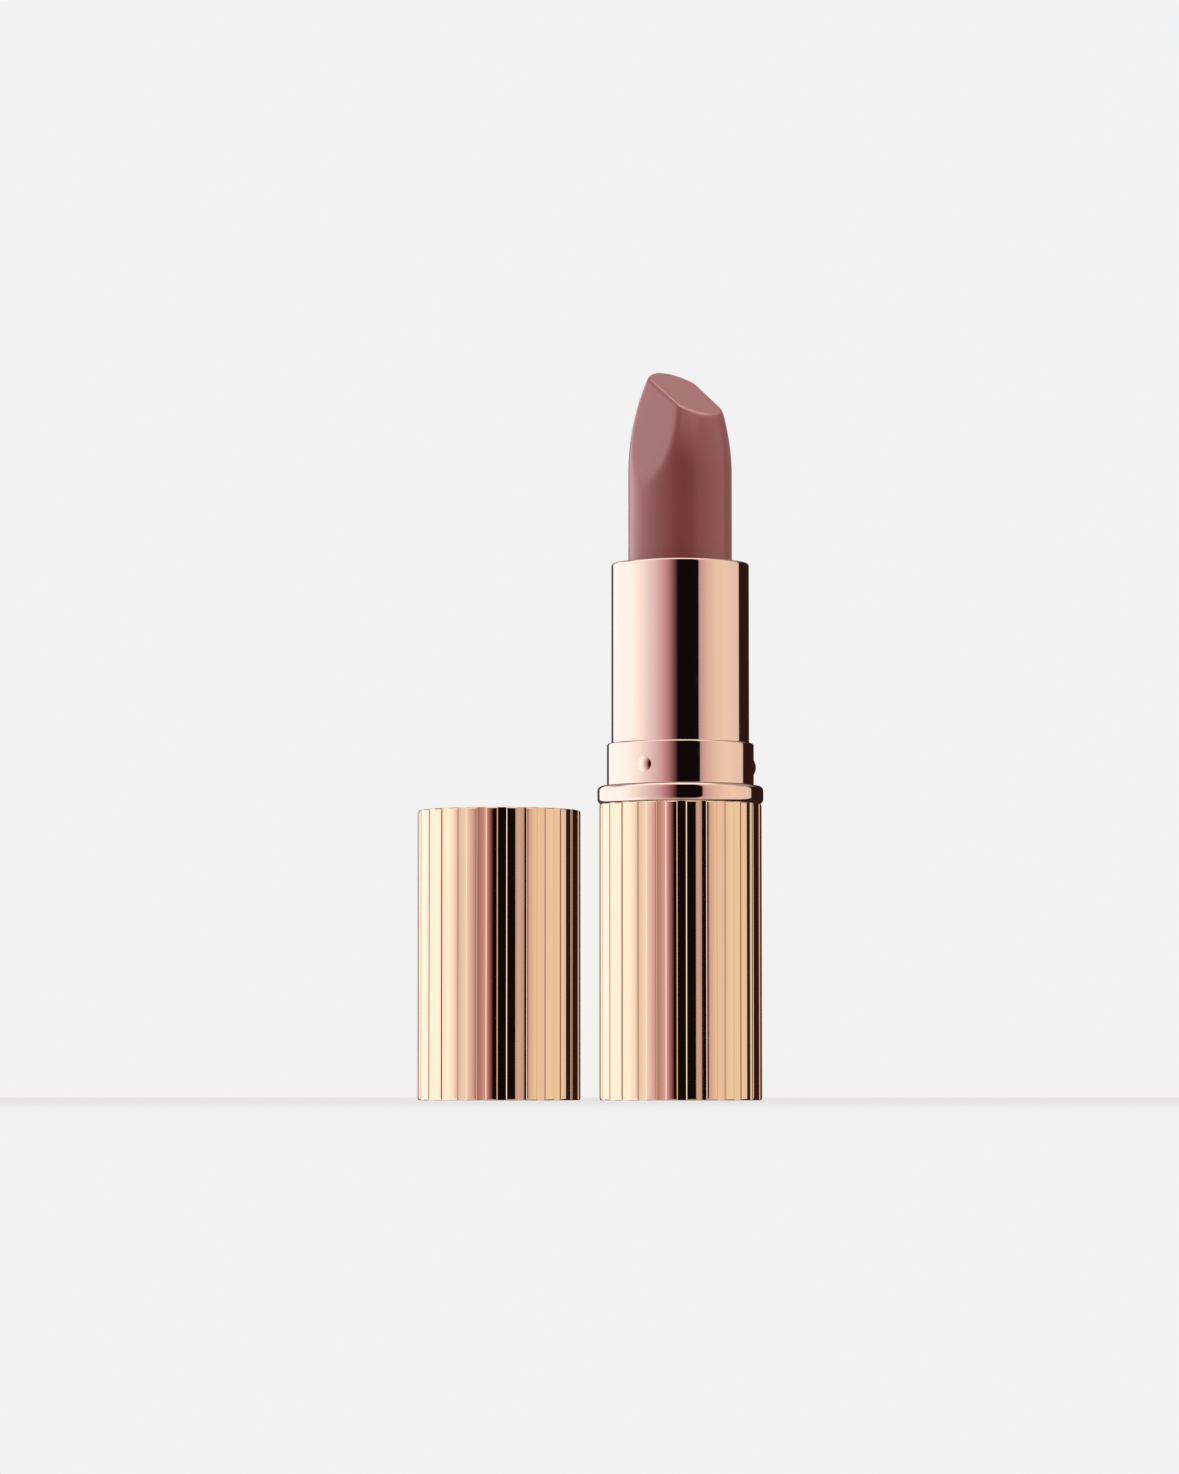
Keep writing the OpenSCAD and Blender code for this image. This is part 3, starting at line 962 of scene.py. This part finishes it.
def camera():
    """A long lens just above the floor, midway between the case and its cap, tilted up a little."""
    distance, eye, centre, aside = 0.68, 1.5 * MM, 44.35 * MM, -0.03 * MM
    data = bpy.data.cameras.new("camera")
    data.lens = 136
    data.clip_start = MM
    viewer = bpy.data.objects.new("camera", data)
    bpy.context.scene.collection.objects.link(viewer)
    viewer.location = (axis_x("cap_shell") / 2 + aside, -distance, eye)
    viewer.rotation_euler = (math.pi / 2 + math.atan((centre - eye) / distance), 0, 0)
    bpy.context.scene.camera = viewer


class LIPSTICK_OT_stage(LipstickOperator, bpy.types.Operator):
    """Make the pale stage, the soft light and the camera"""

    bl_idname = "lipstick.stage"
    bl_label = "Stage"

    def execute(self, context):
        context.scene.view_settings.view_transform = "Standard"
        light_tent()
        for settings in SOFT_BOXES:
            soft_box(bpy.data.objects["wax_bullet"], *settings)
        backdrop(context.scene.lipstick_colours.floor)
        camera()
        return {"FINISHED"}


class LIPSTICK_PT_panel(bpy.types.Panel):
    """Sizes, colours and the operators that build the case"""

    bl_idname = "LIPSTICK_PT_panel"
    bl_label = "Lipstick case"
    bl_space_type = "VIEW_3D"
    bl_region_type = "UI"
    bl_category = "Lipstick"

    def draw(self, context):
        for settings in (context.scene.lipstick_sizes, context.scene.lipstick_colours):
            box = self.layout.box()
            for name in type(settings).__annotations__:
                box.prop(settings, name)
        for operator in OPERATORS:
            self.layout.operator(operator.bl_idname)


OPERATORS = (
    LIPSTICK_OT_ribbed_shells,
    LIPSTICK_OT_centre_ring,
    LIPSTICK_OT_tube_shell,
    LIPSTICK_OT_bullet,
    LIPSTICK_OT_inner_pieces,
    LIPSTICK_OT_stage,
)
CLASSES = (LipstickSizes, LipstickColours, *OPERATORS, LIPSTICK_PT_panel)


def register():
    for made in CLASSES:
        bpy.utils.register_class(made)
    bpy.types.Scene.lipstick_sizes = PointerProperty(type=LipstickSizes)
    bpy.types.Scene.lipstick_colours = PointerProperty(type=LipstickColours)


def unregister():
    del bpy.types.Scene.lipstick_colours
    del bpy.types.Scene.lipstick_sizes
    for made in reversed(CLASSES):
        bpy.utils.unregister_class(made)


def main():
    """Builds the case and its stage."""
    register()
    bpy.ops.lipstick.ribbed_shells()
    bpy.ops.lipstick.centre_ring()
    bpy.ops.lipstick.tube_shell()
    bpy.ops.lipstick.bullet()
    bpy.ops.lipstick.inner_pieces()
    bpy.ops.lipstick.stage()


if __name__ == "__main__":
    main()
